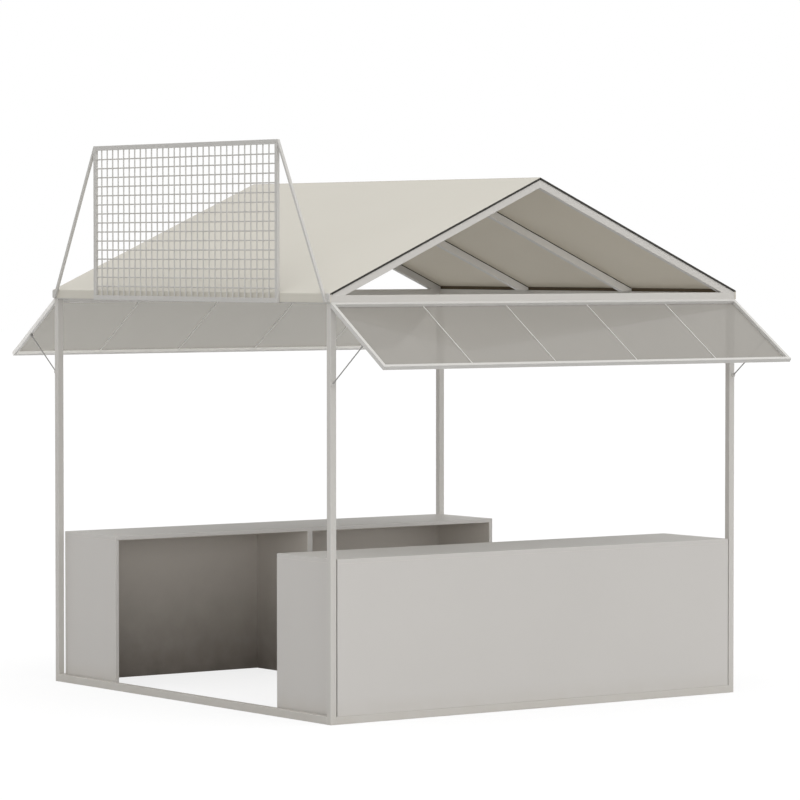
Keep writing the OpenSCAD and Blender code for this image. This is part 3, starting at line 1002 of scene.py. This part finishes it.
inside_faces = 0
for board in boards:
    side, part = board.name.removeprefix("counter_").removesuffix("_board").split("_", 1)
    inward = Vector(INWARD.get(part, (-1 if side == "right" else 1, 0, 0)))
    inside_faces += paint_faces(board, counter_inside, lambda face: looks_inside(face, part, inward))
    # The tops' darker lacquer is painted shade from the roof.
    paint_faces(board, counter_top_shaded, lambda face: part == "top" and face.normal.z > FACING)
print("inside faces:", inside_faces)

# %% [markdown]
# ## Studio
# The stall stands on a pale floor under a soft dome. Lamps could light it, but each would
# throw a shadow of its own under the roof. The dome has a wide light overhead and a low band
# of light around the horizon, brightest on the right, like big soft boxes around a set. The
# low band reaches in under the roof and shades the faces apart. The dome's light is a formula
# of the ray's direction: a level, a cubed height for the overhead light, and a band that
# fades upwards. What the camera, a reflection or a pane looks at is plain white.

# %% Light the studio
DOME_LEVEL = 0.28
OVERHEAD = 2.0
OVERHEAD_FADE = 3.0
OVERHEAD_LEAN = 0.7
BAND_LEVEL = 1.1
BAND_TILT = (2.35, -0.85, 0)
BAND_FADE = 4


def seen_ray(tree):
    """1 for rays from the camera, from glossy surfaces and through glass."""
    path = add_node(tree, "ShaderNodeLightPath")
    rays = [path.outputs[f"Is {kind} Ray"] for kind in ("Camera", "Glossy", "Transmission")]
    return math_node(tree, "MAXIMUM", rays[0], math_node(tree, "MAXIMUM", rays[1], rays[2]))


def seen_or_lit(tree, seen, lit, output):
    """One shader for what is looked at and another for what only lights. Ends the tree."""
    choice = add_node(tree, "ShaderNodeMixShader")
    tree.links.new(seen_ray(tree), choice.inputs["Fac"])
    tree.links.new(lit, choice.inputs[1])
    tree.links.new(seen, choice.inputs[2])
    leave = add_node(tree, output)
    tree.links.new(choice.outputs["Shader"], leave.inputs["Surface"])


world = bpy.data.worlds.new("studio_dome")
bpy.context.scene.world = world
world.use_nodes = True
tree = world.node_tree
tree.nodes.clear()
direction = add_node(tree, "ShaderNodeTexCoord")
parts = add_node(tree, "ShaderNodeSeparateXYZ")
tree.links.new(direction.outputs["Generated"], parts.inputs["Vector"])
height = math_node(tree, "MAXIMUM", parts.outputs["Z"], 0.0)
lean = math_node(tree, "ADD", math_node(tree, "MULTIPLY", parts.outputs["X"], OVERHEAD_LEAN), 1.0)
overhead = math_node(tree, "MULTIPLY", math_node(tree, "POWER", height, OVERHEAD_FADE), OVERHEAD)
overhead = math_node(tree, "MULTIPLY", overhead, lean)
tilt = add_node(tree, "ShaderNodeVectorMath", operation="DOT_PRODUCT")
tilt.inputs[1].default_value = BAND_TILT
tree.links.new(direction.outputs["Generated"], tilt.inputs[0])
band = math_node(tree, "MAXIMUM", math_node(tree, "ADD", tilt.outputs["Value"], BAND_LEVEL), 0.0)
fade = math_node(tree, "POWER", math_node(tree, "SUBTRACT", 1.0, height), BAND_FADE)
level = math_node(tree, "ADD", overhead, math_node(tree, "MULTIPLY", band, fade))
level = math_node(tree, "ADD", level, DOME_LEVEL)
light = add_node(tree, "ShaderNodeBackground", in_Color=(1, 1, 1, 1))
white = add_node(tree, "ShaderNodeBackground", in_Color=(1, 1, 1, 1), in_Strength=1.0)
tree.links.new(level, light.inputs["Strength"])
seen_or_lit(tree, white.outputs["Background"], light.outputs["Background"], "ShaderNodeOutputWorld")
print("dome level", DOME_LEVEL, "overhead", OVERHEAD, "band", BAND_LEVEL)

# %% [markdown]
# ## Floor
# The floor is one large flat sheet. Seen directly it is nearly self-lit white, with a share
# of plain diffuse white on top, so the stall's soft shadow stays. For the light that bounces
# up under the roof it is a mid grey, as studio paper is.

# %% Make the floor
FLOOR_SIZE = 200.0
FLOOR_GLOW = 0.80
FLOOR_SHARE = 0.20
FLOOR_BOUNCE = 0.5
floor_shape = bmesh.new()
bmesh.ops.create_grid(floor_shape, x_segments=1, y_segments=1, size=FLOOR_SIZE / 2)
floor_mesh = bpy.data.meshes.new("studio_floor")
floor_shape.to_mesh(floor_mesh)
floor_shape.free()
floor = bpy.data.objects.new("studio_floor", floor_mesh)
bpy.context.scene.collection.objects.link(floor)
floor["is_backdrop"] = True

paper = bpy.data.materials.new("studio_paper")
paper.use_nodes = True
tree = paper.node_tree
tree.nodes.clear()
glow = add_node(tree, "ShaderNodeEmission", in_Color=(1, 1, 1, 1), in_Strength=FLOOR_GLOW)
share = add_node(tree, "ShaderNodeBsdfDiffuse", in_Color=(FLOOR_SHARE,) * 3 + (1,))
bounce = add_node(tree, "ShaderNodeBsdfDiffuse", in_Color=(FLOOR_BOUNCE,) * 3 + (1,))
both = add_node(tree, "ShaderNodeAddShader")
tree.links.new(glow.outputs["Emission"], both.inputs[0])
tree.links.new(share.outputs["BSDF"], both.inputs[1])
seen_or_lit(tree, both.outputs["Shader"], bounce.outputs["BSDF"], "ShaderNodeOutputMaterial")
floor_mesh.materials.append(paper)
print("floor", FLOOR_SIZE, "m across")

# %% [markdown]
# ## Camera
# A wide lens close by would splay the posts, while a long lens from far off keeps the
# perspective gentle. The camera stands a little above the eaves, out past the front right
# corner, and looks slightly down, with no roll and no shift.

# %% Place the camera
EYE = Vector((20.5367, -14.8477, 2.67667))
HEADING = math.radians(143.99644)
PITCH = math.radians(-2.04522)
LENS_MM = 185.1155
SENSOR_MM = 36
camera_data = bpy.data.cameras.new("camera")
camera_data.lens = LENS_MM
camera_data.sensor_width = SENSOR_MM
camera = bpy.data.objects.new("camera", camera_data)
bpy.context.scene.collection.objects.link(camera)
bpy.context.scene.camera = camera
gaze = Vector((math.cos(HEADING), math.sin(HEADING), math.tan(PITCH))).normalized()
camera.location = EYE
camera.rotation_mode = "QUATERNION"
camera.rotation_quaternion = gaze.to_track_quat("-Z", "Y")
bpy.context.scene.view_settings.view_transform = "Standard"
print("camera to stall in m:", round(EYE.length, 2))

# %% [markdown]
# ## Last look at the size
# The last cell prints how much the looks add to the CAD model's size.

# %% Print the growth in size
seen_low, seen_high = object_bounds()
growth = (seen_high - seen_low) - (cad_high - cad_low)
print("growth in mm:", [round(value / MM, 2) for value in growth])
